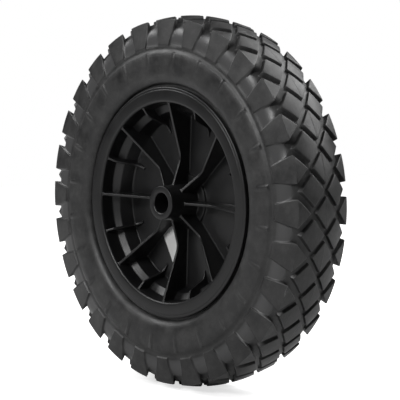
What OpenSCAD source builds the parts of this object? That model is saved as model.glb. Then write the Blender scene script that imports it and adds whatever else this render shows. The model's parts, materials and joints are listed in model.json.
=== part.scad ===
// Wheelbarrow wheel: a solid puncture-proof tyre moulded round a one-piece plastic rim.
// The wheel turns about the Y axis, its centre is the origin, and +Z is up.
// Sizes are in millimetres. Each side of the wheel mirrors the other.

/* [Tyre] */
// Diameter over the tread blocks
tyre_d = 364; // [340:1:400]
// Half of the tyre's width at its fullest point
sidewall_half_w = 38; // [35:0.5:44]
// Number of low radial ribs round each sidewall
sidewall_rib_count = 24; // [20:1:28]
// Turn of the sidewall ribs round the axle
sidewall_rib_turn = 8; // [0:0.5:12]
// Width of a sidewall rib
sidewall_rib_w = 3; // [2:0.1:4]
// Height of a sidewall rib above the sidewall
sidewall_rib_h = 0.6; // [0.3:0.1:1]
// Radius of the tread's crown, seen in the tyre's section
crown_r = 85; // [70:5:200]
// Width of the open ring between the rim's flange and the bead
bead_gap = 2.4; // [1.5:0.1:3.5]
// How far the rounded bead stands out past the flange's face
bead_proud = 2; // [1:0.1:3]

/* [Tread] */
// Turn of the tread's pattern round the axle
tread_turn = -0.5; // [-6:0.1:6]
// Number of tread blocks in each row
block_count = 28; // [24:1:30]
// Depth of the tread grooves
groove_depth = 3; // [2:0.5:5]
// Distance between two rows of blocks, centre to centre across the tread
row_step = 14.8; // [13:0.1:16]
// Length of a tread block round the tyre, corner to corner
block_len = 29; // [24:0.5:32]
// Width of a tread block across the tyre, corner to corner
block_w = 25.2; // [22:0.2:27]
// Distance from the middle of the tread to the tip of a shoulder lug
lug_tip_z = 18.8; // [17:0.2:21]
// Distance from the middle of the tread to the crease across a shoulder lug
crease_z = 32; // [28:0.1:33]
// How far the crease lies below the top of the tread
crease_drop = 4.8; // [4:0.1:7]
// Width of a shoulder lug at its crease
lug_w = 26; // [22:0.5:30]
// Width of a shoulder lug at its end on the sidewall
lug_end_w = 14.4; // [10:0.2:18]
// Length of a shoulder lug down the sidewall, measured along the radius
lug_reach = 25; // [20:0.5:28]
// Height of a shoulder lug's end above the sidewall
lug_proud = 2.4; // [1.5:0.1:3]
// Depth of the floor between two shoulder lugs, below the crease
shoulder_depth = 9; // [6:0.1:10]

/* [Rim] */
// Diameter of the seat that carries the tyre's bead
seat_d = 203; // [196:0.5:210]
// Width of the bead seat behind each flange
seat_w = 8; // [6:0.5:10]
// Height of the flange above the bead seat
flange_h = 11; // [8:0.5:13]
// Distance between the outer faces of the two flanges
flange_span = 68; // [62:0.5:72]
// Thickness of the flange
flange_t = 5; // [3.5:0.1:6]
// Depth of the rim's well below the bead seats
well_depth = 9.5; // [8:0.5:11]
// Half of the well's width
well_half_w = 14; // [12:0.5:16]
// Thickness of the wall under the bead seat
seat_wall = 4.4; // [3.5:0.1:6]
// Thickness of the drum under the well, where it meets the web
drum_wall = 7.5; // [6:0.5:9]
// How much the drum widens from the web to the foot of its step, measured along the radius
drum_flare = 4.5; // [3:0.5:6]
// Height of the step's foot above the web
step_foot_h = 13; // [10:0.5:15]
// Height of the step itself, from its foot to the outer part of the drum
step_rise = 4; // [3:0.5:6]
// Thickness of the web
web_t = 5; // [4:0.2:8]
// Radius of the small mouldings and rounded rims
round_r = 1.6; // [1:0.1:2]

/* [Hub] */
// How far each end of the hub stands out past the sidewall
hub_past_tyre = 0; // [0:0.5:8]
// Diameter of the axle bore
bore_d = 20; // [16:0.1:22]
// Diameter of the hub's end face
hub_d = 33; // [29:0.5:36]
// Diameter of the hub where it meets its base
hub_root_d = 37; // [36:0.5:40]
// Diameter of the raised base round the hub
hub_base_d = 55; // [48:1:60]
// Height of the raised base above the web
hub_base_h = 2.6; // [1.5:0.1:4]
// Chamfer at the mouth of the bore
bore_chamfer = 0.8; // [0.4:0.1:1.5]

/* [Ribs] */
// Number of long ribs on each side, from the hub to the flange
long_rib_count = 8; // [6:1:10]
// Thickness of the long ribs
long_rib_t = 2.8; // [2:0.1:4]
// Radius at which a long rib's edge lies deepest
rib_dip_r = 44; // [38:1:56]
// Depth of a long rib's edge there, below the flange's face
rib_dip_depth = 20; // [16:0.5:22]
// Depth of a long rib's edge where it meets the hub, below the flange's face
rib_hub_depth = 10.5; // [8:0.5:14]
// Depth of a rib's edge where it meets the flange, below the flange's face
rib_lip_depth = 2; // [1.5:0.1:3]
// Radius of the bend at the dip
rib_bend_r = 16; // [8:1:24]
// Thickness of the short ribs
short_rib_t = 2.4; // [1.8:0.1:3]
// Radius at which a short rib ends on the web
short_rib_end_r = 71; // [64:1:76]
// Depth of a short rib, measured inwards from the drum's outer part
short_rib_w = 12; // [9:0.5:14]
// Height of a short rib's blunt end above the web
short_rib_end_h = 0.8; // [0.5:0.1:2]
// Turn of the ribs round the axle
rib_turn = -2.5; // [-4:0.1:0]

/* [Label] */
// Length of the blank label
label_len = 34; // [26:1:36]
// Width of the blank label
label_w = 18; // [14:0.5:18]
// Thickness of the blank label
label_t = 0.25; // [0.2:0.05:0.4]
// Distance from the axle to the label's middle
label_r = 48.9; // [47:0.1:51]
// Direction of the label's middle, seen from the front
label_at = -116; // [-118:0.5:-114]
// Direction of the label's long side, seen from the front
label_turn = -62; // [-66:1:-58]

/* [Hidden] */
$fn = 96;

// Small overlap that joins one feature to the next inside a single piece
bite = 1.5;
// How far a cutting or keeping body runs past what it trims
past = 4;

// Tyre
seat_r = seat_d / 2;
tyre_r = tyre_d / 2;
crease_r = tyre_r - crease_drop;
lug_end_r = crease_r - lug_reach;
pitch = 360 / block_count;
// Where the grooves' floor leaves the crown for the shoulder
shoulder_start_z = 0.72 * crease_z;
floor_steps = 3;
// Fall of a lug's top from its tip to the crease, for each millimetre across the tread
tip_slope = (crown_at(lug_tip_z) - crease_r) / (crease_z - lug_tip_z);
// The lugs' ends and the sidewall under them
lug_end_z = sidewall_half_w - 1.6;
lug_floor_z = lug_end_z - lug_proud;
shoulder_floor_r = crease_r - shoulder_depth;
shoulder_floor_z = crease_z - 1;
// The sidewall's fullest ring, between the bead and the lugs' ends, and half of its width
full_r = (seat_r + flange_h + lug_end_r) / 2 + 2;
full_half_w = 6;
wall_z = sidewall_half_w - sidewall_rib_h;
wall_fall = 0.4;

// Rim
flange_r = seat_r + flange_h;
face_z = flange_span / 2;
flange_back_z = face_z - flange_t;
seat_end_z = flange_back_z - seat_w;
well_r = seat_r - well_depth;
drum_r = well_r - drum_wall;
step_r = drum_r + drum_flare;
lip_r = seat_r - seat_wall;
web_z = web_t / 2;
step_foot_z = web_z + step_foot_h;
step_top_z = step_foot_z + step_rise;
// Draft of the drum's outer part, from the step to the flange
drum_draft = 1;

// Bead of the tyre beside the flange: its inner radius, its rounded edge and the slope above it
bead_r = flange_r + bead_gap;
bead_round_r = 1.2;
bead_slope_w = 5;

// Hub
bore_r = bore_d / 2;
// Small chamfer round the hub's end face
hub_edge = 0.5;
hub_r = hub_d / 2;
hub_z = sidewall_half_w + hub_past_tyre;
hub_root_r = hub_root_d / 2;
hub_base_r = hub_base_d / 2;
base_z = web_z + hub_base_h;

// Top of the tread blocks at a distance z from the middle
function crown_at(z) = tyre_r - crown_r + sqrt(crown_r * crown_r - z * z);

// A body of revolution whose section lies right of the Y axis
module turned() rotate_extrude($fn = 180) children();

// The same shape on both sides of the wheel
module both_sides() {
    children();
    mirror([0, 0, 1]) children();
}

// Count copies round the axle, the first one turned by the angle start
module round_axle(count, start = 0)
    for (i = [0 : count - 1]) rotate([0, 0, start + i * 360 / count]) children();

// An outline stood up as a plate of the thickness t, in the plane through the axle
module standing_plate(t)
    rotate([90, 0, 0]) translate([0, 0, -t / 2]) linear_extrude(t) children();

// Section of one side of the casing: from the well over the bead and the sidewall to the crown
module casing_half_section()
    polygon(concat(
        [
            [well_r, 0],
            [well_r, well_half_w],
            [seat_r, seat_end_z],
            [seat_r, flange_back_z],
            [bead_r, flange_back_z],
            [bead_r, face_z - bead_round_r],
            [bead_r + bead_round_r, face_z + bead_proud / 4],
            [bead_r + bead_slope_w, face_z + bead_proud],
            [full_r - full_half_w, wall_z - wall_fall],
            [full_r, wall_z],
            [full_r + full_half_w, wall_z - wall_fall],
            [lug_end_r - bite, lug_floor_z],
            [(lug_end_r + shoulder_floor_r) / 2, (2 * lug_floor_z + shoulder_floor_z) / 3],
            [shoulder_floor_r, shoulder_floor_z]
        ],
        // The grooves' floor follows the crown in steps of equal width
        [for (i = [floor_steps : -1 : 0]) let (z = shoulder_start_z * i / floor_steps)
            [crown_at(z) - groove_depth, z]]
    ));

// One diamond block of a tread row, standing square on the crown at the distance z from the middle
module diamond_block(z)
    translate([tyre_r - crown_r, 0, 0]) rotate([0, -asin(z / crown_r), 0])
        translate([crown_r - groove_depth - bite, 0, 0]) rotate([0, 90, 0])
            linear_extrude(groove_depth + bite)
                polygon([[-block_w / 2, 0], [0, block_len / 2], [block_w / 2, 0], [0, -block_len / 2]]);

// Side view of a shoulder lug in [radius, distance from the middle], with the crease at its corner
module lug_side_view()
    polygon([
        [crown_at(lug_tip_z) - groove_depth - bite, lug_tip_z - past],
        [crown_at(lug_tip_z) + past * tip_slope, lug_tip_z - past],
        [crease_r, crease_z],
        [lug_end_r, lug_end_z],
        [lug_end_r, lug_floor_z - bite],
        [shoulder_floor_r - bite, shoulder_floor_z - bite]
    ]);

// One shoulder lug: a pointed part on the tread and a tapering part down the sidewall
module shoulder_lug() intersection() {
    rotate([90, 0, 0]) translate([0, 0, -lug_w / 2]) linear_extrude(lug_w) lug_side_view();
    union() {
        // Plan of the tread part, seen along the radius
        rotate([0, 90, 0]) linear_extrude(tyre_d)
            polygon([
                [-lug_tip_z, 0],
                [-crease_z, lug_w / 2],
                [-crease_z - past, lug_w / 2],
                [-crease_z - past, -lug_w / 2],
                [-crease_z, -lug_w / 2]
            ]);
        // Plan of the sidewall part, seen along the axle
        translate([0, 0, shoulder_floor_z - bite]) linear_extrude(sidewall_half_w)
            polygon([
                [lug_end_r, lug_end_w / 2],
                [crease_r, lug_w / 2],
                [crease_r, -lug_w / 2],
                [lug_end_r, -lug_end_w / 2]
            ]);
    }
}

// Side view of a low rib in [radius, distance from the middle] that follows the sidewall down to the lugs' ends
module sidewall_rib_outline()
    polygon([
        [full_r - bite, wall_z - bite],
        [full_r - bite, wall_z - wall_fall / 4],
        [full_r + bite, wall_z + sidewall_rib_h - wall_fall / 4],
        [full_r + full_half_w, wall_z + sidewall_rib_h - wall_fall],
        [lug_end_r - bite, lug_floor_z + sidewall_rib_h],
        [lug_end_r - bite, lug_floor_z - bite]
    ]);

// All rows of blocks and both rings of shoulder lugs
module tread_pattern() rotate([0, 0, tread_turn]) {
    round_axle(block_count) diamond_block(0);
    both_sides() {
        round_axle(block_count) shoulder_lug();
        round_axle(block_count, pitch / 2) diamond_block(row_step);
    }
}

// The solid tyre, moulded in one piece
module tyre() color([0.09, 0.09, 0.095]) rotate([90, 0, 0]) {
    turned() {
        casing_half_section();
        mirror([0, 1]) casing_half_section();
    }
    tread_pattern();
    both_sides() round_axle(sidewall_rib_count, sidewall_rib_turn)
        standing_plate(sidewall_rib_w) sidewall_rib_outline();
}

// Section of one side of the rim: flange, bead seat, stepped drum, web and hub
module rim_half_section() union() {
    // Drum and flange
    polygon([
        [drum_r - bite, 0],
        [drum_r - bite, web_z],
        [drum_r, web_z],
        [step_r, step_foot_z],
        [lip_r - drum_draft, step_top_z],
        [lip_r, face_z - round_r],
        [lip_r + round_r, face_z],
        [flange_r - round_r, face_z],
        [flange_r, face_z - round_r],
        [flange_r, flange_back_z],
        [seat_r, flange_back_z],
        [seat_r, seat_end_z],
        [well_r, well_half_w],
        [well_r, 0]
    ]);
    // Rounded rims of the flange
    translate([lip_r + round_r, face_z - round_r]) circle(round_r, $fn = 48);
    translate([flange_r - round_r, face_z - round_r]) circle(round_r, $fn = 48);
    // Web, raised base and tapering hub
    polygon([
        [bore_r, 0],
        [bore_r, hub_z - bore_chamfer],
        [bore_r + bore_chamfer, hub_z],
        [hub_r - hub_edge, hub_z],
        [hub_r, hub_z - hub_edge],
        [hub_root_r, base_z],
        [hub_base_r - hub_base_h, base_z],
        [hub_base_r, web_z],
        [drum_r, web_z],
        [drum_r, 0]
    ]);
}

// Side view of a long rib in [radius, height]; its edge dips between the flange and the hub
module long_rib_outline() {
    dip_z = face_z - rib_dip_depth;
    hub_edge_z = face_z - rib_hub_depth;
    lip_z = face_z - rib_lip_depth;
    // Slopes of the edge on each side of the dip
    out_slope = (lip_z - dip_z) / (lip_r - rib_dip_r);
    in_slope = (hub_edge_z - dip_z) / (rib_dip_r - hub_r);
    // The bend is the circle that touches both slopes
    half_turn = (atan(out_slope) + atan(in_slope)) / 2;
    tangent = rib_bend_r * tan(half_turn);
    in_end = [rib_dip_r - tangent * cos(atan(in_slope)), dip_z + tangent * sin(atan(in_slope))];
    out_end = [rib_dip_r + tangent * cos(atan(out_slope)), dip_z + tangent * sin(atan(out_slope))];
    centre = [in_end[0] + rib_bend_r * sin(atan(in_slope)), in_end[1] + rib_bend_r * cos(atan(in_slope))];
    difference() {
        polygon([
            [hub_r, 0],
            [hub_r, hub_edge_z],
            in_end,
            out_end,
            [lip_r, lip_z],
            [lip_r + bite, lip_z],
            [lip_r + bite, step_top_z + bite],
            [drum_r + bite, 0]
        ]);
        translate(centre) circle(rib_bend_r, $fn = 90);
    }
}

// Side view of a short rib in [radius, height]: a gusset along the drum that runs out on the web
module short_rib_outline() {
    lip_z = face_z - rib_lip_depth;
    gusset_r = lip_r - short_rib_w;
    // Where the rib's upright edge turns into its foot on the web
    foot_r = (gusset_r + 2 * short_rib_end_r) / 3;
    foot_h = short_rib_end_h + (foot_r - short_rib_end_r) / 4;
    polygon([
        [lip_r + bite, lip_z],
        [lip_r, lip_z],
        [gusset_r + short_rib_w / 3, lip_z - short_rib_w / 3],
        [gusset_r, lip_z - short_rib_w],
        [(gusset_r + foot_r) / 2, web_z + 3 * foot_h],
        [foot_r, web_z + foot_h],
        [short_rib_end_r, web_z + short_rib_end_h],
        [short_rib_end_r, 0],
        [drum_r + bite, 0],
        [lip_r + bite, step_top_z + bite]
    ]);
}

// The rim, moulded in one piece with its hub and ribs
module rim() color([0.12, 0.12, 0.125]) rotate([90, 0, 0]) {
    turned() {
        rim_half_section();
        mirror([0, 1]) rim_half_section();
    }
    both_sides() {
        round_axle(long_rib_count, rib_turn) standing_plate(long_rib_t) long_rib_outline();
        round_axle(long_rib_count, rib_turn + 180 / long_rib_count)
            standing_plate(short_rib_t) short_rib_outline();
    }
}

// The blank label, stuck flat on the front of the web between two long ribs
module label() color([0.93, 0.93, 0.92]) rotate([90, 0, 0])
    translate([label_r * cos(label_at), label_r * sin(label_at), web_z]) rotate([0, 0, label_turn])
        translate([-label_len / 2, -label_w / 2, 0]) cube([label_len, label_w, label_t]);

tyre();
rim();
label();
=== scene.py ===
# %% [markdown]
# # A puncture-proof wheelbarrow wheel
# The wheel is a black foam tyre with a diamond block tread, moulded round a plastic rim that has
# a deep dish on each side, eight long ribs, eight short ribs and a plain bore for the axle.
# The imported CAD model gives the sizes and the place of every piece. Here each piece gets its
# finished surface: rounded edges, fillets, mould marks and materials.

# %% Load the frame
import json
import math

import bmesh
import bpy
import numpy as np
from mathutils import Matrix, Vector


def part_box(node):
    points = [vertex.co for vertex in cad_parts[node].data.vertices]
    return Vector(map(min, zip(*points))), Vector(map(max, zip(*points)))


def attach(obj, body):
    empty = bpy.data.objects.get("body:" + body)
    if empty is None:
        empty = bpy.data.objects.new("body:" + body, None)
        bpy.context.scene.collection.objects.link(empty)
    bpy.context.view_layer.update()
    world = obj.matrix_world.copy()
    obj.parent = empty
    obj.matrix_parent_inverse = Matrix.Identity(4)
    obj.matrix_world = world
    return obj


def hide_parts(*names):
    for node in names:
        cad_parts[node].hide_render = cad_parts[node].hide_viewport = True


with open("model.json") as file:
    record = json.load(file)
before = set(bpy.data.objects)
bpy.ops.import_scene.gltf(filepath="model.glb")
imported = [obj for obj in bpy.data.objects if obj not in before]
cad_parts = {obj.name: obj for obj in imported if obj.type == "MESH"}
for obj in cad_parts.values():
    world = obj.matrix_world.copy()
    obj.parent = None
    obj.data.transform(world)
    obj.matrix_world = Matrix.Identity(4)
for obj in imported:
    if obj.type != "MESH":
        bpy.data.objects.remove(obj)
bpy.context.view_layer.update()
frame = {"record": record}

# %% [markdown]
# Lengths below are in millimetres, as on a drawing of the wheel, and become metres only when a
# mesh is made. The wheel turns about Y. A point is given by its radius, its angle (measured from
# +X towards +Z) and how far it lies out from the middle plane towards the visible side.

# %% Sizes that come from the frame
MM = 0.001
tyre_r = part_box("tyre")[1].x / MM
half_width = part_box("tyre")[1].y / MM
bore_r = frame["record"]["mounts"][0]["dims"]["r_mm"]
print(f"tyre radius {tyre_r:.1f}, half width {half_width:.1f}, bore radius {bore_r:.1f} mm")


def wheel_points(radius, angle, out):
    """Metre coordinates: x and z go round the axle, and y is minus the distance out."""
    radius, angle, out = np.broadcast_arrays(radius, angle, out)
    return np.stack([radius * np.cos(angle), -out, radius * np.sin(angle)], axis=-1) * MM


# %% [markdown]
# Every surface is a grid of points worked out with numpy. A grid becomes quads, several grids
# are joined into one list, and points that fall on each other are merged, so that the patches of
# one moulding close into one skin. A grid row may shrink to one point, as at the middle of a
# block's top: the merge turns those quads into triangles.

# %% Grids and meshes
def grid_quads(rows, columns, closed):
    """Quads of a grid whose point (i, j) has the number i * columns + j.

    closed joins the last column to the first.
    """
    i, j = np.meshgrid(np.arange(rows - 1), np.arange(columns if closed else columns - 1), indexing="ij")
    right = (j + 1) % columns
    corners = [i * columns + j, i * columns + right, (i + 1) * columns + right, (i + 1) * columns + j]
    return np.stack(corners, axis=-1).reshape(-1, 4)


def stacked(patches, closed):
    """Points and quads of many equal grids: patches has the shape (count, rows, columns, 3)."""
    count, rows, columns, _ = patches.shape
    quads = grid_quads(rows, columns, closed)
    shift = (np.arange(count) * rows * columns)[:, None, None]
    return patches.reshape(-1, 3), (quads[None] + shift).reshape(-1, 4)


def joined(parts):
    """One list of points and quads from several, each list of quads moved past the points before it."""
    starts = np.cumsum([0] + [len(points) for points, _ in parts[:-1]])
    points = np.concatenate([points for points, _ in parts])
    return points, np.concatenate([quads + start for (_, quads), start in zip(parts, starts)])


def piece(name, points, quads, material, slot, nodes, sharp_deg=38, merge_mm=0.01, wound=False):
    """A finished object: points that fall on each other merged, and edges above sharp_deg kept sharp.

    Faces are turned outwards, unless wound says that their points already run the right way round.
    """
    mesh = bpy.data.meshes.new(name)
    mesh.from_pydata(points, [], quads)
    work = bmesh.new()
    work.from_mesh(mesh)
    bmesh.ops.remove_doubles(work, verts=work.verts, dist=merge_mm * MM)
    if not wound:
        bmesh.ops.recalc_face_normals(work, faces=work.faces)
    work.to_mesh(mesh)
    open_edges = sum(not edge.is_manifold for edge in work.edges)
    work.free()
    mesh.polygons.foreach_set("use_smooth", np.ones(len(mesh.polygons), dtype=bool))
    mesh.set_sharp_from_angle(angle=math.radians(sharp_deg))
    obj = bpy.data.objects.new(name, mesh)
    bpy.context.scene.collection.objects.link(obj)
    mesh.materials.append(material)
    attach(obj, "root")
    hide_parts(*nodes)
    mesh.calc_loop_triangles()
    print(f"{name}: {len(mesh.loop_triangles)} triangles, {open_edges} open edges")
    return obj


# %% [markdown]
# A moulding has no sharp corners. A section is drawn as a polyline, and each of its corners may
# be cut back: a short curve leaves one side before the corner and joins the other side after it.

# %% Sections with rounded corners
def rounded_section(corners, steps=4):
    """Polyline through corners (radius, out, cut), where a cut above 0 rounds its corner.

    The round is the quadratic curve (1 - t)^2 start + 2 t (1 - t) corner + t^2 end, whose start and
    end lie on the corner's two sides, as far from it as the cut says.
    """
    corners = np.array(corners, dtype=float)
    points = corners[:, :2]
    rows = []
    share = np.linspace(0, 1, steps)[:, None]
    for k, cut in enumerate(corners[:, 2]):
        if cut == 0:
            rows.append(points[k : k + 1])
            continue
        before = points[k - 1] - points[k]
        after = points[k + 1] - points[k]
        start = points[k] + before / np.linalg.norm(before) * cut
        end = points[k] + after / np.linalg.norm(after) * cut
        rows.append((1 - share) ** 2 * start + 2 * share * (1 - share) * points[k] + share**2 * end)
    return np.concatenate(rows)


def mirrored_section(half):
    """A whole section from its visible half: the same points again with the distance out reversed."""
    return np.concatenate([half, (half * [1, -1])[::-1]])


def turned(section, columns):
    """Grid of a body of revolution: the section's points at equal steps of angle."""
    angle = np.arange(columns) * 2 * math.pi / columns
    return wheel_points(section[:, 0, None], angle[None], section[:, 1, None])


# %% [markdown]
# ## Materials
# Rubber foam skin and moulded plastic are both dark, so their look comes from how they shine:
# a fine grain left by the mould, patches that are a little duller, and sharp edges painted paler
# as a painted highlight. These effects are node groups, built once and given their own values in
# each material.

# %% Node groups
def node_group(name, inputs, outputs):
    """An empty shader group with named float inputs (name, default) and outputs."""
    group = bpy.data.node_groups.new(name, "ShaderNodeTree")
    for label, value in inputs:
        group.interface.new_socket(label, in_out="INPUT", socket_type="NodeSocketFloat").default_value = value
    for label in outputs:
        group.interface.new_socket(label, in_out="OUTPUT", socket_type="NodeSocketFloat")
    source = group.nodes.new("NodeGroupInput")
    sink = group.nodes.new("NodeGroupOutput")
    return group, source, sink


def add_node(tree, kind, **values):
    """A node of the kind, with its properties set from values."""
    made = tree.nodes.new(kind)
    for key, value in values.items():
        setattr(made, key, value)
    return made


def noise(tree, vector, scale, detail=3.0, roughness=0.6):
    """A noise texture on a vector; scale is a socket or a number per metre."""
    made = add_node(tree, "ShaderNodeTexNoise")
    made.inputs["Detail"].default_value = detail
    made.inputs["Roughness"].default_value = roughness
    tree.links.new(vector, made.inputs["Vector"])
    if isinstance(scale, (int, float)):
        made.inputs["Scale"].default_value = scale
    else:
        tree.links.new(scale, made.inputs["Scale"])
    return made.outputs["Fac"]


def maths(tree, operation, first, second=0.0, third=0.0):
    """A Math node on sockets or numbers."""
    made = add_node(tree, "ShaderNodeMath", operation=operation)
    for socket, value in zip(made.inputs, (first, second, third)):
        if isinstance(value, (int, float)):
            socket.default_value = value
        else:
            tree.links.new(value, socket)
    return made.outputs[0]


def remap(tree, value, low, high, to_low=0.0, to_high=1.0):
    """A value's range low to high, clamped, spread over to_low to to_high."""
    made = add_node(tree, "ShaderNodeMapRange", clamp=True)
    for key, number in (("From Min", low), ("From Max", high), ("To Min", to_low), ("To Max", to_high)):
        made.inputs[key].default_value = number
    tree.links.new(value, made.inputs["Value"])
    return made.outputs["Result"]


def build_grain():
    """Mould grain: fine noise plus 0.8 of a coarser orange-peel wave, as Height for a bump.

    Mottle is slow noise, spread over 0 to 1, for changes of tone and shine.
    """
    inputs = [("Grain Scale", 900.0), ("Wave Scale", 90.0), ("Mottle Scale", 14.0)]
    group, source, sink = node_group("mould_grain", inputs, ["Height", "Mottle"])
    place = add_node(group, "ShaderNodeTexCoord").outputs["Object"]
    fine = noise(group, place, source.outputs["Grain Scale"], 2.0, 0.7)
    wave = noise(group, place, source.outputs["Wave Scale"], 2.0, 0.5)
    mottle = noise(group, place, source.outputs["Mottle Scale"], 5.0, 0.62)
    height = maths(group, "MULTIPLY_ADD", wave, 0.8, fine)
    group.links.new(height, sink.inputs["Height"])
    group.links.new(remap(group, mottle, 0.3, 0.7), sink.inputs["Mottle"])
    return group


def build_painted_edge_highlight():
    """Painted highlight on sharp edges: the mesh's own pointiness, cut off above a threshold and broken up by
    noise.
    """
    inputs = [("Sharpness", 0.53), ("Break Scale", 160.0)]
    group, source, sink = node_group("painted_edge_highlights", inputs, ["Mask"])
    place = add_node(group, "ShaderNodeTexCoord").outputs["Object"]
    point = add_node(group, "ShaderNodeNewGeometry").outputs["Pointiness"]
    over = maths(group, "SUBTRACT", point, source.outputs["Sharpness"])
    edge = remap(group, over, 0.0, 0.06)
    broken = remap(group, noise(group, place, source.outputs["Break Scale"], 3.0, 0.65), 0.35, 0.62)
    group.links.new(maths(group, "MULTIPLY", edge, broken), sink.inputs["Mask"])
    return group


def build_dust():
    """Dust: a film of slow noise that is thicker in patches, with faint streaks of stretched noise."""
    group, source, sink = node_group("dust_film", [("Patch Scale", 22.0), ("Streak Scale", 60.0)], ["Mask"])
    place = add_node(group, "ShaderNodeTexCoord").outputs["Object"]
    stretch = add_node(group, "ShaderNodeMapping")
    stretch.inputs["Scale"].default_value = (1.0, 6.0, 1.0)
    group.links.new(place, stretch.inputs["Vector"])
    patch = remap(group, noise(group, place, source.outputs["Patch Scale"], 6.0, 0.7), 0.42, 0.78)
    streak_noise = noise(group, stretch.outputs["Vector"], source.outputs["Streak Scale"], 4.0, 0.7)
    streak = remap(group, streak_noise, 0.5, 0.75)
    group.links.new(maths(group, "MULTIPLY_ADD", streak, 0.5, patch), sink.inputs["Mask"])
    return group


grain_group, painted_edge_highlight_group, dust_group = build_grain(), build_painted_edge_highlight(), build_dust()
print("node groups:", [g.name for g in (grain_group, painted_edge_highlight_group, dust_group)])


# %% [markdown]
# A material places the groups, mixes four tones by their masks and sends the grain to a bump.
# The constants, such as the specular level, sit on the shader's own sockets.

# %% Materials from the groups
def place_group(tree, group, **values):
    """A group node with its inputs set by name, underscores standing for spaces."""
    made = add_node(tree, "ShaderNodeGroup", node_tree=group)
    for key, value in values.items():
        made.inputs[key.replace("_", " ")].default_value = value
    return made


def tone_mix(tree, mask, first, second):
    """Colour that goes from first to second as the mask goes from 0 to 1; each is a colour or a socket."""
    made = add_node(tree, "ShaderNodeMix", data_type="RGBA")
    sockets = {s.identifier: s for s in made.inputs}
    tree.links.new(mask, sockets["Factor_Float"])
    for key, value in (("A_Color", first), ("B_Color", second)):
        if isinstance(value, tuple):
            sockets[key].default_value = (*value, 1.0)
        else:
            tree.links.new(value, sockets[key])
    return next(s for s in made.outputs if s.identifier == "Result_Color")


def moulded_material(
    name, tones, rough, bump_mm, specular, grain, painted_edge_highlight, dust, dust_share, extra_bump=None, polish_roughness_and_painted_sheen=None
):
    """A moulded skin.

    tones are its (base, mottled, edge, dusty) colours, where the edge colour is a painted highlight on
    sharp edges; rough is the roughness of plain and of dull parts, and dust_share how much of the dusty
    tone the film carries. The grain, edge and dust arguments are the values of the three groups. The
    last argument is the (roughness, colour) of the floors that the mesh's own attribute marks: the
    slightly lower roughness is real, the lighter colour is a painted sheen.
    """
    material = bpy.data.materials.new(name)
    material.use_nodes = True
    tree = material.node_tree
    shader = tree.nodes["Principled BSDF"]
    shader.inputs["Specular IOR Level"].default_value = specular
    grain_node = place_group(tree, grain_group, **grain)
    painted_edge_highlight_node = place_group(tree, painted_edge_highlight_group, **painted_edge_highlight)
    dust_node = place_group(tree, dust_group, **dust)
    mottle = grain_node.outputs["Mottle"]
    base = tone_mix(tree, mottle, tones[0], tones[1])
    dusty = tone_mix(tree, maths(tree, "MULTIPLY", dust_node.outputs["Mask"], dust_share), base, tones[3])
    # The third tone is a painted highlight laid on sharp edges, broken up by noise
    colour = tone_mix(tree, painted_edge_highlight_node.outputs["Mask"], dusty, tones[2])
    roughness = remap(tree, mottle, 0.0, 1.0, *rough)
    # On the marked floors the roughness drops a little and the colour is painted lighter: a painted sheen
    if polish_roughness_and_painted_sheen is not None:
        polish_and_painted_sheen = add_node(tree, "ShaderNodeAttribute", attribute_name="polish_and_painted_sheen").outputs["Fac"]
        colour = tone_mix(tree, polish_and_painted_sheen, colour, polish_roughness_and_painted_sheen[1])
        keep = maths(tree, "SUBTRACT", 1.0, polish_and_painted_sheen)
        roughness = maths(tree, "MULTIPLY_ADD", keep, roughness, maths(tree, "MULTIPLY", polish_and_painted_sheen, polish_roughness_and_painted_sheen[0]))
    tree.links.new(colour, shader.inputs["Base Color"])
    tree.links.new(roughness, shader.inputs["Roughness"])
    bump = add_node(tree, "ShaderNodeBump")
    bump.inputs["Distance"].default_value = bump_mm * MM
    bump.inputs["Strength"].default_value = 1.0
    height = grain_node.outputs["Height"]
    if extra_bump is not None:
        height = maths(tree, "ADD", height, extra_bump(tree))
    tree.links.new(height, bump.inputs["Height"])
    tree.links.new(bump.outputs["Normal"], shader.inputs["Normal"])
    return material


def parting_line(tree):
    """Height of the mould's parting line: a ridge that falls from 3 to 0 between 0.1 and 0.5 mm
    from the middle plane.
    """
    split = add_node(tree, "ShaderNodeSeparateXYZ")
    tree.links.new(add_node(tree, "ShaderNodeTexCoord").outputs["Object"], split.inputs["Vector"])
    away = maths(tree, "ABSOLUTE", split.outputs["Y"])
    return remap(tree, away, 0.1 * MM, 0.5 * MM, 3.0, 0.0)


tyre_skin = moulded_material(
    "foam_tyre_skin",
    # The third tone, a pale grey, is a painted highlight on sharp edges
    tones=((0.015, 0.015, 0.0155), (0.036, 0.036, 0.0365), (0.2, 0.2, 0.2), (0.12, 0.119, 0.117)),
    rough=(0.34, 0.52),
    bump_mm=0.05,
    specular=0.5,
    grain={"Grain_Scale": 1400.0, "Wave_Scale": 120.0, "Mottle_Scale": 55.0},
    painted_edge_highlight={"Sharpness": 0.53, "Break_Scale": 150.0},
    dust={"Patch_Scale": 60.0, "Streak_Scale": 110.0},
    dust_share=0.4,
    extra_bump=parting_line,
    # Floors between the lugs: roughness 0.33 and a lighter colour, which is a painted sheen
    polish_roughness_and_painted_sheen=(0.33, (0.085, 0.085, 0.086)),
)
rim_plastic = moulded_material(
    "moulded_rim_plastic",
    # The third tone is a painted highlight on sharp edges
    tones=((0.008, 0.008, 0.0085), (0.013, 0.013, 0.0135), (0.05, 0.05, 0.051), (0.03, 0.03, 0.03)),
    rough=(0.3, 0.42),
    bump_mm=0.03,
    specular=0.5,
    grain={"Grain_Scale": 1800.0, "Wave_Scale": 150.0, "Mottle_Scale": 26.0},
    painted_edge_highlight={"Sharpness": 0.53, "Break_Scale": 220.0},
    dust={"Patch_Scale": 40.0, "Streak_Scale": 90.0},
    dust_share=0.15,
)
print("materials:", tyre_skin.name, rim_plastic.name)


# %% [markdown]
# The label is matt paper: off-white, with a fibre noise too faint to see from a step away.

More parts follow.
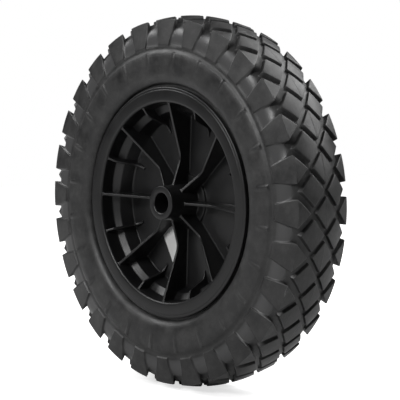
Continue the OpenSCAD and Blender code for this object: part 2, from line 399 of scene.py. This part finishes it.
# %% Label paper
def paper_material():
    """Matt paper: off-white mottled by fine noise, which also gives a faint bump."""
    material = bpy.data.materials.new("label_paper")
    material.use_nodes = True
    tree = material.node_tree
    shader = tree.nodes["Principled BSDF"]
    place = add_node(tree, "ShaderNodeTexCoord").outputs["Object"]
    fibre = noise(tree, place, 1500.0, 4.0, 0.7)
    colour = tone_mix(tree, remap(tree, fibre, 0.35, 0.65), (0.86, 0.86, 0.85), (0.92, 0.92, 0.91))
    tree.links.new(colour, shader.inputs["Base Color"])
    tree.links.new(remap(tree, fibre, 0.3, 0.7, 0.55, 0.7), shader.inputs["Roughness"])
    bump = add_node(tree, "ShaderNodeBump")
    bump.inputs["Distance"].default_value = 0.02 * MM
    tree.links.new(fibre, bump.inputs["Height"])
    tree.links.new(bump.outputs["Normal"], shader.inputs["Normal"])
    return material


label_paper = paper_material()

# %% [markdown]
# ## Tread
# The tread repeats 28 times round the tyre. Unrolled, it is a lattice of diamonds: a row down the
# middle, a row on each side half a step along, and then the shoulder lugs. Each diamond cell
# holds one block and half of the grooves round it, so cells that touch share their edges and the
# floor of the grooves. A cell is drawn as rings of points, from its edge over the floor, up the
# block's wall, round its rim and in to the middle of its top.

# %% Tread sizes
block_count = 28
half_pitch = math.pi / block_count
tread_turn = math.radians(-0.5)
crown_r = 85.0
row_step = 14.8
groove_depth = 3.0
block_half_round = 14.5
block_half_across = 12.6
# How far out the grooves' floor stays under the crown
floor_crown_end = 26.0
# Where the lugs fold over the shoulder: radius and distance out
crease = np.array([tyre_r - 4.8, 32.0])
lug_tip_out = 18.8
lug_half_width = 13.0
lug_end_half_width = 7.2
lug_end = np.array([crease[0] - 25.0, half_width - 1.6])
lug_length = np.linalg.norm(lug_end - crease)
# Where the floor between two lugs turns from the tread to the sidewall
floor_crease = crease - [9.0, 1.0]
valley = lug_end - [3.0, 1.2]
# Rounding of the floor's corners, measured along the floor
floor_round = 0.9


def crown(out):
    """Radius of the tread's top: a circle of radius crown_r in the tyre's section.

    It is highest at the middle plane: tyre_r - crown_r + sqrt(crown_r^2 - out^2).
    """
    return tyre_r - crown_r + np.sqrt(crown_r**2 - out**2)


# %% [markdown]
# A ring starts from a polygon. Moving each side inwards by one distance and crossing it with its
# neighbour gives the next, smaller polygon, so walls and rims keep their width on every side.

# %% Rings of points round a block
def offset_polygon(corners, distance):
    """Corners of a convex polygon, listed counter-clockwise, with each side moved inwards by distance."""
    corners = np.asarray(corners, dtype=float)
    along = np.roll(corners, -1, axis=0) - corners
    along /= np.linalg.norm(along, axis=1, keepdims=True)
    inwards = np.stack([-along[:, 1], along[:, 0]], axis=1)
    level = np.sum(inwards * corners, axis=1) + distance
    # Corner k is where side k - 1 and side k cross
    sides = np.stack([np.roll(inwards, 1, axis=0), inwards], axis=1)
    levels = np.stack([np.roll(level, 1), level], axis=1)
    return np.linalg.solve(sides, levels[..., None])[..., 0]


def eased(count):
    """Shares from 0 to 1 that crowd towards both ends: half a cosine wave."""
    return (1 - np.cos(np.linspace(0, math.pi, count + 1)[:-1])) / 2


def polygon_ring(corners, shares, soften):
    """Points along a polygon's sides at the given shares; soften pulls each corner halfway onto a curve."""
    corners = np.asarray(corners, dtype=float)
    ends = np.roll(corners, -1, axis=0)
    ring = np.concatenate([a + share[:, None] * (b - a) for a, b, share in zip(corners, ends, shares)])
    if soften:
        starts = np.cumsum([0] + [len(share) for share in shares[:-1]])
        middle = (ring[starts - 1] + ring[(starts + 1) % len(ring)]) / 2
        ring[starts] = (ring[starts] + middle) / 2
    return ring


# Distance of each ring inside the block's edge, and its height as a share of the groove's depth
wall_profile = [
    (-1.1, 0.0), (-0.75, 0.02), (-0.55, 0.14), (-0.4, 0.4),
    (-0.15, 0.84), (0.0, 0.95), (0.3, 0.99), (0.8, 1.0),
]
# Shares of the way from the rim of a block's top to its middle at which the last rings lie
top_shares = (0.4, 0.75, 1.0)


def block_rings(cell, block, pole, cell_shares, block_shares):
    """Rings of points [round, across, height] from the cell's edge up the wall to the pole of the top."""
    rings = [np.column_stack([polygon_ring(cell, cell_shares, False), np.zeros(sum(map(len, cell_shares)))])]
    for inside, height in wall_profile:
        ring = polygon_ring(offset_polygon(block, inside), block_shares, True)
        rings.append(np.column_stack([ring, np.full(len(ring), height)]))
    top = rings[-1]
    for share in top_shares:
        rings.append(top + share * (np.array([*pole, 1.0]) - top))
    return np.array(rings)


side_steps = 8
cell_half_round = half_pitch * tyre_r


def diamond(half_round, half_across):
    """Corners of a diamond, counter-clockwise."""
    return [(-half_round, 0), (0, -half_across), (half_round, 0), (0, half_across)]


diamond_cell = diamond(cell_half_round, row_step)
diamond_block = diamond(block_half_round, block_half_across)
diamond_sides = [eased(side_steps)] * 4
diamond_rings = block_rings(diamond_cell, diamond_block, (0, 0), diamond_sides, diamond_sides)
print("points in a diamond cell:", diamond_rings.shape[:2])


# %% [markdown]
# Two paths in the tyre's section carry the whole tread: one along the tops and one along the floor
# of the grooves. Both are read at the distance along the top, from the middle plane over the
# shoulder and down the sidewall. A point's height is its share of the way from floor to top, so
# cells that touch meet on the same floor.

# %% Paths of the tread in the section
shoulder_end = crease[1] + lug_length
valley_width = 2.1
cell_end = shoulder_end + valley_width


def smooth_lookup(at, stations, values, reach):
    """Value of a polyline at a station, averaged over a reach on each side to round its corners."""
    spread = np.linspace(-reach, reach, 9)
    return np.mean([np.interp(at + step, stations, values) for step in spread], axis=0)


def shoulder_top(along):
    """Radius and distance out along the lugs' tops: down to the crease, then straight down the sidewall."""
    stations = [lug_tip_out, crease[1], shoulder_end]
    radius = np.interp(along, stations, [crown(lug_tip_out), crease[0], lug_end[0]])
    out = np.interp(along, stations, [lug_tip_out, crease[1], lug_end[1]])
    early = along < lug_tip_out
    return np.where(early, crown(np.minimum(along, lug_tip_out)), radius), np.where(early, along, out)


def groove_floor(along):
    """Radius and distance out along the floor: under the crown, over the shoulder and down to the valley."""
    # Past the fold the floor bends outwards in steps: distance on from the fold, fall and way out
    bend = np.array([(0, 0, 0), (3.5, 3.0, 1.45), (7.0, 6.2, 2.35), (11.5, 10.2, 2.85), (16.0, 14.0, 3.0)])
    # By the end of the crown the floor has sunk 0.6 mm below its plain depth
    crown_stations = np.array([0, row_step, floor_crown_end])
    stations = [*crown_stations, *(crease[1] + bend[:, 0]), shoulder_end, cell_end, cell_end + 9]
    radius = [
        *(crown(crown_stations) - groove_depth - [0, 0, 0.6]),
        *(floor_crease[0] - bend[:, 1]), lug_end[0] - 1.5, valley[0], valley[0] - 6.4,
    ]
    out = [*crown_stations, *(floor_crease[1] + bend[:, 2]), valley[1], valley[1], valley[1]]
    on_crown = np.clip((along - row_step) / 4, 0, 1)
    smooth_radius = smooth_lookup(along, stations, radius, floor_round)
    smooth_out = smooth_lookup(along, stations, out, floor_round)
    early_radius = crown(np.minimum(along, crown_r / 2)) - groove_depth
    return early_radius + on_crown * (smooth_radius - early_radius), along + on_crown * (smooth_out - along)


def tread_patches(rings, along, top, side, turns):
    """Cells placed on the tyre at the turns, their rings between the floor's path and the top's."""
    floor = np.array(groove_floor(along))
    radius, out = floor + rings[..., 2] * (np.array(top) - floor)
    angle = rings[..., 0] / tyre_r + tread_turn + np.asarray(turns)[:, None, None]
    return wheel_points(radius[None], angle, (side * out)[None])


def diamond_patches(row, turns):
    """The cells of one row, moved across to the row."""
    across = row * row_step + diamond_rings[..., 1]
    along = np.abs(across)
    return tread_patches(diamond_rings, along, (crown(along), along), np.where(across < 0, -1, 1), turns)


# %% [markdown]
# ## Shoulder lugs
# A shoulder lug is a five-sided block folded over the shoulder. Its plan is drawn flat, with the
# distance from the middle plane running on down the sidewall past the crease.

# %% Lug cells
gap_steps, end_steps = 10, 12
lug_cell = [
    (0, row_step),
    (cell_half_round, 2 * row_step),
    (cell_half_round, cell_end),
    (-cell_half_round, cell_end),
    (-cell_half_round, 2 * row_step),
]
# Distances round count at the tyre's radius, so a width that lies deeper is widened to come out true
widen_crease, widen_end = tyre_r / crease[0], tyre_r / lug_end[0]
lug_plan = [
    (0, lug_tip_out),
    (lug_half_width * widen_crease, crease[1]),
    (lug_end_half_width * widen_end, shoulder_end),
    (-lug_end_half_width * widen_end, shoulder_end),
    (-lug_half_width * widen_crease, crease[1]),
]
even_end = np.arange(end_steps) / end_steps
cell_sides = [eased(side_steps), eased(gap_steps), even_end, eased(gap_steps), eased(side_steps)]
lug_sides = [eased(side_steps), eased(gap_steps), eased(end_steps), eased(gap_steps), eased(side_steps)]
lug_rings = block_rings(lug_cell, lug_plan, (0, crease[1]), cell_sides, lug_sides)
print("points in a lug cell:", lug_rings.shape[:2])


def lug_patches(side, turns):
    """The lug cells of one side."""
    along = lug_rings[..., 1]
    return tread_patches(lug_rings, along, shoulder_top(along), side, turns)


# %% [markdown]
# ## Sidewall
# Inside the lugs the sidewall is a body of revolution down to the bead, and from there the foam
# follows the rim's seat and well. 24 low radial ribs stand on it. Their columns of points crowd
# round each rib, and spread out evenly again where the sidewall meets the lug cells.

# %% Sidewall grid
seat_r, well_r, flange_r = 101.5, 92.0, 112.5
flange_back, seat_end, well_half = 29.0, 21.0, 14.0
bead_r = flange_r + 2.4
wall = half_width - 0.6
rib_count, rib_height, rib_turn = 24, 0.6, math.radians(8.3)
rib_columns = 14
# Half of a rib's width in degrees, and the radii between which it rises and falls away again
rib_half_angle = 0.95
rib_radii = [131.5, 133.0, 145.2, 146.5]
# Turn that puts every even column on a point of the lug cells, so that the two skins close
even_turn = math.radians(7.5) + tread_turn
# How far inside the lug cells' end the columns have moved from even to crowded
crowd_depth = 2.4
casing_half = rounded_section([
    (*groove_floor(np.array(cell_end)), 0),
    (valley[0] - 1.2, valley[1] + 0.2, 0),
    (valley[0] - 2.6, wall - 1.3, 0.8),
    (valley[0] - 4.5, wall - 0.25, 0),
    (139.9, wall - 0.1, 0),
    (133.4, wall, 0),
    (131.9, wall - 0.03, 0),
    (128.0, wall - 0.15, 0),
    (124.5, wall - 0.5, 0),
    (121.6, wall - 1.2, 0),
    (119.2, wall - 2.3, 0),
    (117.2, wall - 3.7, 0),
    (115.8, wall - 5.4, 0),
    (bead_r, wall - 7.2, 0),
    (bead_r, flange_back, 0.3),
    (seat_r, flange_back, 0.3),
    (seat_r, seat_end, 0),
    (well_r, well_half, 0),
])
casing = mirrored_section(casing_half)


def rib_angles():
    """Angles of one rib's columns from its middle: even ones, and ones that crowd on its flanks."""
    even = (np.arange(rib_columns) - rib_columns // 2) * 2 * math.pi / (rib_count * rib_columns)
    flank = [-rib_half_angle, -0.6, -0.3, 0.0, 0.3, 0.6, rib_half_angle]
    return even, np.radians([-6.2, -4.4, -2.8, -1.5, *flank, 1.5, 3.0, 4.7])


def casing_grid():
    """Grid of the casing inside the lugs: the section turned, with the ribs raised as rounded ridges.

    A ridge has the height 1 - (angle / half angle)^4, so it is flat on top with rounded flanks.
    """
    even, near = rib_angles()
    middles = np.arange(rib_count) * 2 * math.pi / rib_count
    radius, out = casing[:, 0], casing[:, 1]
    crowd = np.clip((cell_end_r - radius) / crowd_depth, 0, 1)[:, None, None]
    spread_angle = middles[:, None] + even_turn + even
    crowd_angle = middles[:, None] + rib_turn + near
    angle = spread_angle + crowd * (crowd_angle - spread_angle)
    across = np.abs(near)[None, None] / math.radians(rib_half_angle)
    ridge = np.clip(1 - across**4, 0, 1)
    window = np.interp(radius, rib_radii, [0, 1, 1, 0])[:, None, None]
    raised = out[:, None, None] + np.sign(out)[:, None, None] * rib_height * ridge * window
    grid = wheel_points(radius[:, None, None], angle, raised)
    return grid.reshape(len(radius), -1, 3)


cell_end_r = float(groove_floor(np.array(cell_end))[0])
turns = np.arange(block_count) * 2 * half_pitch
tyre_parts = [stacked(casing_grid()[None], True)]
tyre_parts += [stacked(diamond_patches(row, turns + half_pitch * (row % 2)), True) for row in (-1, 0, 1)]
tyre_parts += [stacked(lug_patches(side, turns), True) for side in (-1, 1)]
tyre = piece("tyre_moulding", *joined(tyre_parts), tyre_skin, "tyre_foam", ["tyre"])

# %% [markdown]
# The mould is polished between the shoulder lugs: the skin there is a little smoother, and its colour
# is painted lighter as a painted sheen. Each point of the mesh gets a value that the material reads:
# 1 on the floor between two lugs, falling to 0 within a fraction of a millimetre above it.

# %% Polished floors and painted sheen
def mark_polish_and_painted_sheen(obj, fade_mm=0.8):
    """Write the attribute of gloss and painted sheen: how near each point lies to the floor between fold and
    valley.
    """
    count = len(obj.data.vertices)
    points = np.empty(count * 3)
    obj.data.vertices.foreach_get("co", points)
    points = points.reshape(-1, 3) / MM
    radius, out = np.hypot(points[:, 0], points[:, 2]), np.abs(points[:, 1])
    floor_radius, floor_out = groove_floor(np.linspace(crease[1], shoulder_end, 60))
    above = out - np.interp(radius, floor_radius[::-1], floor_out[::-1])
    inside = np.clip((radius - lug_end[0]) / 2, 0, 1) * (radius < floor_crease[0] + 0.2)
    polish_and_painted_sheen = inside * np.clip(1 - above / fade_mm, 0, 1)
    obj.data.attributes.new("polish_and_painted_sheen", "FLOAT", "POINT").data.foreach_set("value", polish_and_painted_sheen)
    print("polished points:", int((polish_and_painted_sheen > 0.5).sum()), "of", count)


mark_polish_and_painted_sheen(tyre)

# %% [markdown]
# ## Rim
# The rim is one injection moulding. Its body is turned: bore, hub, web, a drum that widens in a
# step, the lip, the flange, and the seat and well under the tyre. The two halves mirror each other.

# %% Rim body
hub_r, hub_root_r, hub_base_r = 16.5, 18.5, 27.5
hub_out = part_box("rim")[1].y / MM
web_out, base_out = 2.5, 5.1
drum_r, step_r, lip_r = 84.5, 89.0, 97.1
step_foot, step_top, face_out = 15.5, 19.5, 34.0
rim_half = rounded_section([
    (bore_r, 0, 0),
    (bore_r, hub_out - 0.9, 0),
    (bore_r + 0.9, hub_out, 0.5),
    (hub_r - 0.1, hub_out, 0.7),
    (hub_r + 0.15, hub_out - 4, 0),
    (hub_root_r, base_out, 1.2),
    (hub_base_r - 0.6, base_out - 0.1, 0.8),
    (hub_base_r, web_out, 0.8),
    (hub_base_r + 8, web_out, 0),
    (drum_r - 8, web_out, 0),
    (drum_r, web_out, 1.2),
    (step_r, step_foot, 1.0),
    (lip_r - 1, step_top, 1.2),
    (lip_r - 0.1, face_out - 3.4, 0),
    (lip_r + 0.2, face_out, 2.6),
    (flange_r - 3.2, face_out, 0.3),
    (flange_r - 2.8, face_out - 0.35, 0.2),
    (flange_r, face_out - 0.35, 1.2),
    (flange_r, flange_back, 0.3),
    (seat_r, flange_back, 0.3),
    (seat_r, seat_end, 0),
    (well_r, well_half, 0),
    (well_r, 0, 0),
])
rim_columns = 224
rim_body_grid = turned(mirrored_section(rim_half), rim_columns)
piece("rim_body", *stacked(rim_body_grid[None], True), rim_plastic, "rim_plastic", ["rim"], merge_mm=0.005)

# %% [markdown]
# ## Ribs
# A rib is a thin wall that stands on the web between the hub and the drum. Its side is a grid:
# one direction runs from the hub's wall to the drum's wall, the other from the web up to the rib's
# edge. The grid then goes over the edge and down the other side. Near the web and the drum the
# rib thickens into a fillet, as plastic needs to flow and a sharp inner corner would crack.

# %% Rib surface
def hub_wall(out):
    """Radius of the hub's and its base's side at a distance out."""
    stations = [web_out, base_out, base_out + 0.1, hub_out]
    return np.interp(out, stations, [hub_base_r, hub_base_r - 1, hub_root_r, hub_r])


def drum_wall(out):
    """Radius of the drum's inner side at a distance out."""
    return np.interp(out, [web_out, step_foot, step_top, face_out], [drum_r, step_r, lip_r - 1, lip_r])


def fillet(distance, size):
    """How far a quarter-circle fillet stands out at a distance from its root.

    With t = 1 - distance / size it is size * (1 - sqrt(1 - t^2)), and 0 past the fillet's size.
    """
    inside = np.clip(1 - distance / size, 0, 1)
    return size * (1 - np.sqrt(1 - inside**2))


# A rib's foot is sunk this far into the web, and each side leans this much for each millimetre down
rib_sink, rib_draft = 0.4, 0.012


def rib_patches(edge, r_start, bury, thickness, turns, columns=40, fillet_mm=1.4, round_mm=0.7):
    """Ribs as closed strips: edge(r) is the height of the rib's edge, and r_start its inner end.

    bury is how far the outer end runs into the lip, and round_mm the round of the edge.
    """
    # Stations from the inner to the outer end, and heights that crowd on the fillet at the foot
    share = np.concatenate([np.linspace(0, 0.8, columns), np.linspace(0.83, 1, columns // 3)])
    heights = np.array([0.0, 0.5, 1.0, 1.6, 2.4])
    upper = np.linspace(0.15, 1, 7)
    radius = r_start + share * (lip_r + bury - r_start)
    top = edge(radius)
    base = np.full_like(top, web_out - rib_sink)
    low = base[:, None] + heights[None]
    low = np.minimum(low, top[:, None] - 0.2 + 0.01 * heights[None])
    body_top = top - round_mm
    high = low[:, -1:] + upper[None] * np.maximum(body_top[:, None] - low[:, -1:], 0.01)
    side_out = np.concatenate([low, high], axis=1)
    gap_web = side_out - web_out
    gap_drum = drum_wall(side_out) - radius[:, None]
    gap_hub = radius[:, None] - hub_wall(side_out)
    half = thickness / 2 + rib_draft * (top[:, None] - side_out)
    for gap in (gap_web, gap_drum, gap_hub):
        half = half + fillet(np.maximum(gap, 0), fillet_mm)
    # Round the edge, then go down the other side as the mirror of the first
    arc = np.linspace(0, math.pi / 2, 4)[1:]
    edge_half = half[:, -1:] - round_mm * (1 - np.cos(arc))[None]
    edge_out = side_out[:, -1:] + round_mm * np.sin(arc)[None]
    section_half = np.concatenate([half, edge_half], axis=1)
    section_out = np.concatenate([side_out, edge_out], axis=1)
    whole_half = np.concatenate([section_half, -section_half[:, ::-1]], axis=1)
    whole_out = np.concatenate([section_out, section_out[:, ::-1]], axis=1)
    whole_radius = np.repeat(radius[:, None], whole_out.shape[1], axis=1)
    # Close both ends with a line of points on the rib's middle plane
    caps = [(whole_radius[k], whole_half[k] * 0, whole_out[k]) for k in (0, -1)]
    whole_radius = np.concatenate([caps[0][0][None], whole_radius, caps[1][0][None]])
    whole_half = np.concatenate([caps[0][1][None], whole_half, caps[1][1][None]])
    whole_out = np.concatenate([caps[0][2][None], whole_out, caps[1][2][None]])
    patches = []
    for side in (-1, 1):
        for turn in turns:
            x = whole_radius * math.cos(turn) - whole_half * math.sin(turn)
            z = whole_radius * math.sin(turn) + whole_half * math.cos(turn)
            grid = np.stack([x, -side * whole_out, z], axis=-1) * MM
            # The mirrored side runs the other way round, so that its faces point outwards too
            patches.append(grid if side > 0 else grid[:, ::-1])
    return np.array(patches)


# %% [markdown]
# The long ribs dip between the lip and the hub: two gentle slopes meet in a round bend. The short
# ribs are gussets: they follow the drum down from the lip and run out on the web.

# %% Rib edges
rib_dip_r = 44.0
# Depths of a rib's edge below the flange's face, at the lip, the dip and the hub
rib_lip_depth, rib_dip_depth, rib_hub_depth = 2, 20, 10.5


def long_edge(radius):
    """Height of a long rib's edge: two straight slopes that meet at the dip, blended by a moving average.

    The slopes run on 6 mm inside the hub and 8 mm past the lip, so the average is true at both ends.
    """
    stations = [hub_r - 6, hub_r, rib_dip_r, lip_r + 8]
    rise = (rib_dip_depth - rib_lip_depth) / (lip_r - rib_dip_r)
    depths = np.array([8.4, rib_hub_depth, rib_dip_depth, rib_lip_depth - 8 * rise])
    return smooth_lookup(radius, stations, face_out - depths, 4.5)


def short_edge(radius):
    """Height of a short rib's edge: a foot on the web, a steep gusset, then a slope to the lip."""
    stations = [71.0, 74.7, 79.9, 85.1, 89.1, lip_r, lip_r + 3]
    foot = [web_out + 0.8, web_out + 1.8, web_out + 5.2]
    heights = [*foot, face_out - 14, face_out - 6, face_out - rib_lip_depth, face_out - rib_lip_depth]
    return smooth_lookup(radius, stations, heights, 0.8)


rib_start = math.radians(-2.5)
long_turns = rib_start + np.arange(8) * math.pi / 4
short_turns = long_turns + math.pi / 8
long_ribs = rib_patches(long_edge, hub_r - 1.5, 0.6, 2.6, long_turns)
short_ribs = rib_patches(short_edge, 71.0, 0.6, 2.2, short_turns, columns=24, fillet_mm=1.0, round_mm=0.6)
for name, ribs in (("long_ribs", long_ribs), ("short_ribs", short_ribs)):
    piece(name, *stacked(ribs, True), rim_plastic, "rim_plastic", ["rim"], merge_mm=0.002, wound=True)

# %% [markdown]
# ## Label
# A blank paper label with rounded corners lies on the web between two long ribs. It is a stack of
# rings again: a low edge, a rounded rim and a top that ripples a little, as paper on plastic does.

# %% Label sheet
label_long, label_wide, label_thick = 34.0, 18.0, 0.25
label_centre_r, label_centre_at = 48.9, math.radians(-116)
label_turn = math.radians(-62)
# The paper's ripple: its height, and its angle in radians for each millimetre along the label
ripple_height, ripple_rate = 0.06, 0.45
# The paper's underside lies this far above the web
label_lift = 0.05
# Distance of each ring inside the label's edge, and its height as a share of the thickness
label_profile = [(0.0, -0.1), (0.0, 0.6), (0.08, 0.9), (0.3, 1.0), (1.0, 1.0), (3.0, 1.0), (6.0, 1.0)]


def label_points():
    """Rings of a rounded rectangle from its foot to its middle, turned and moved to its place on the web."""
    half_long, half_wide = label_long / 2, label_wide / 2
    corners = [
        (half_long, -half_wide), (half_long, half_wide), (-half_long, half_wide), (-half_long, -half_wide)
    ]
    shares = [eased(16)] * 4
    rings = []
    for inside, height in label_profile:
        ring = polygon_ring(offset_polygon(corners, inside), shares, True)
        rings.append(np.column_stack([ring, np.full(len(ring), height)]))
    # The stack closes above and below on a short line of points
    rings.append(rings[-1] * [0.4, 0.0, 1.0])
    rings.insert(0, rings[0] * [0.4, 0.0, 1.0])
    flat = np.array(rings)
    ripple = ripple_height * np.sin(flat[..., 0] * ripple_rate) * np.clip(flat[..., 2], 0, 1)
    out = web_out + flat[..., 2] * label_thick + ripple * (flat[..., 2] > 0.5) + label_lift
    along = flat[..., 0] * math.cos(label_turn) - flat[..., 1] * math.sin(label_turn)
    up = flat[..., 0] * math.sin(label_turn) + flat[..., 1] * math.cos(label_turn)
    x = along + label_centre_r * math.cos(label_centre_at)
    z = up + label_centre_r * math.sin(label_centre_at)
    return np.stack([x, -out, z], axis=-1) * MM


label_parts = stacked(label_points()[None], True)
piece("paper_label", *label_parts, label_paper, "label_paper", ["label"], merge_mm=0.002)

# %% [markdown]
# ## Studio
# The photo is a product shot: a white surround, a large soft light above and behind, a smaller one
# above the front, and weaker ones at the left and the right. The floor keeps a soft shadow.

# %% Floor and world
floor_size = 6.0


def stage_floor():
    """A flat square under the wheel, on which the wheel's shadow falls."""
    mesh = bpy.data.meshes.new("floor")
    half = floor_size / 2
    down = -tyre_r * MM
    corners = [(-half, -half, down), (half, -half, down), (half, half, down), (-half, half, down)]
    mesh.from_pydata(corners, [], [(0, 1, 2, 3)])
    floor = bpy.data.objects.new("floor", mesh)
    bpy.context.scene.collection.objects.link(floor)
    material = bpy.data.materials.new("white_floor")
    material.use_nodes = True
    tree = material.node_tree
    shader = tree.nodes["Principled BSDF"]
    shader.inputs["Roughness"].default_value = 0.9
    mesh.materials.append(material)
    return floor, tree, shader


def seen_by_eye(tree):
    """1 for rays that the camera, a reflection or a clear material sends, and 0 for rays of light."""
    path = add_node(tree, "ShaderNodeLightPath")
    first = maths(tree, "MAXIMUM", path.outputs["Is Camera Ray"], path.outputs["Is Glossy Ray"])
    return maths(tree, "MAXIMUM", first, path.outputs["Is Transmission Ray"])


floor, floor_tree, floor_shader = stage_floor()
floor_eye = seen_by_eye(floor_tree)
# The floor is pale to the eye and dark to the rays of light, so it throws little light up at the wheel
floor_tone = tone_mix(floor_tree, floor_eye, (0.12, 0.12, 0.12), (0.85, 0.85, 0.85))
floor_tree.links.new(floor_tone, floor_shader.inputs["Base Color"])
# Away from the wheel the floor glows up to the surround's white, and only the shadow under it stays
floor_place = add_node(floor_tree, "ShaderNodeTexCoord").outputs["Object"]
floor_away = add_node(floor_tree, "ShaderNodeVectorMath", operation="LENGTH")
floor_tree.links.new(floor_place, floor_away.inputs[0])
glow_from, glow_full, least_glow = 0.12, 0.45, 0.6
glow = remap(floor_tree, floor_away.outputs["Value"], glow_from, glow_full, least_glow, 1.0)
floor_shader.inputs["Emission Color"].default_value = (1, 1, 1, 1)
floor_camera = add_node(floor_tree, "ShaderNodeLightPath").outputs["Is Camera Ray"]
floor_glow = maths(floor_tree, "MULTIPLY", floor_camera, glow)
floor_tree.links.new(floor_glow, floor_shader.inputs["Emission Strength"])

world = bpy.data.worlds.new("studio")
world.use_nodes = True
world_tree = world.node_tree
background = world_tree.nodes["Background"]
background.inputs["Color"].default_value = (1, 1, 1, 1)
path = add_node(world_tree, "ShaderNodeLightPath")
surround_light = 0.05
camera_only = remap(world_tree, path.outputs["Is Camera Ray"], 0.0, 1.0, surround_light, 1.0)
world_tree.links.new(camera_only, background.inputs["Strength"])
bpy.context.scene.world = world


# %% [markdown]
# The lamps are large rectangles, so their reflections in the dark skins are broad and soft.

# %% Lamps
def soft_lamp(name, place, size, power, aim=(0.0, 0.0, 0.0)):
    """A rectangular lamp of a size and at a place in metres, turned to face the aim; power is in watts."""
    data = bpy.data.lights.new(name, "AREA")
    data.shape = "RECTANGLE"
    data.size, data.size_y = size
    data.energy = power
    lamp = bpy.data.objects.new(name, data)
    lamp.location = place
    lamp.rotation_mode = "QUATERNION"
    lamp.rotation_quaternion = (Vector(place) - Vector(aim)).to_track_quat("Z", "Y")
    bpy.context.scene.collection.objects.link(lamp)
    return lamp


soft_lamp("overhead", (0.5, 1.3, 1.5), (2.0, 1.4), 36.0)
soft_lamp("key", (-0.1, -1.8, 0.95), (0.9, 0.5), 18.0)
soft_lamp("left", (-1.4, -0.9, 1.3), (0.8, 0.8), 13.0)
soft_lamp("right_back", (1.4, 1.5, 0.8), (0.8, 0.8), 7.0)

# %% [markdown]
# ## Camera
# The camera stands to the right of the wheel's front, a little above its middle, and looks past
# the hub so that the wheel fills the square frame as in the photo.

# %% Camera
view_azimuth, view_elevation = math.radians(47.12), math.radians(3.71)
view_distance = 1.380
look_at = Vector((0.0234, -0.0078, 0.0027))
camera_data = bpy.data.cameras.new("camera")
camera_data.sensor_width = 36.0
camera_data.lens = 127.9
camera = bpy.data.objects.new("camera", camera_data)
level = math.cos(view_elevation)
back = Vector((math.sin(view_azimuth) * level, -math.cos(view_azimuth) * level, math.sin(view_elevation)))
camera.location = look_at + back * view_distance
camera.rotation_mode = "QUATERNION"
camera.rotation_quaternion = back.to_track_quat("Z", "Y")
bpy.context.scene.collection.objects.link(camera)
bpy.context.scene.camera = camera
bpy.context.scene.view_settings.view_transform = "Standard"
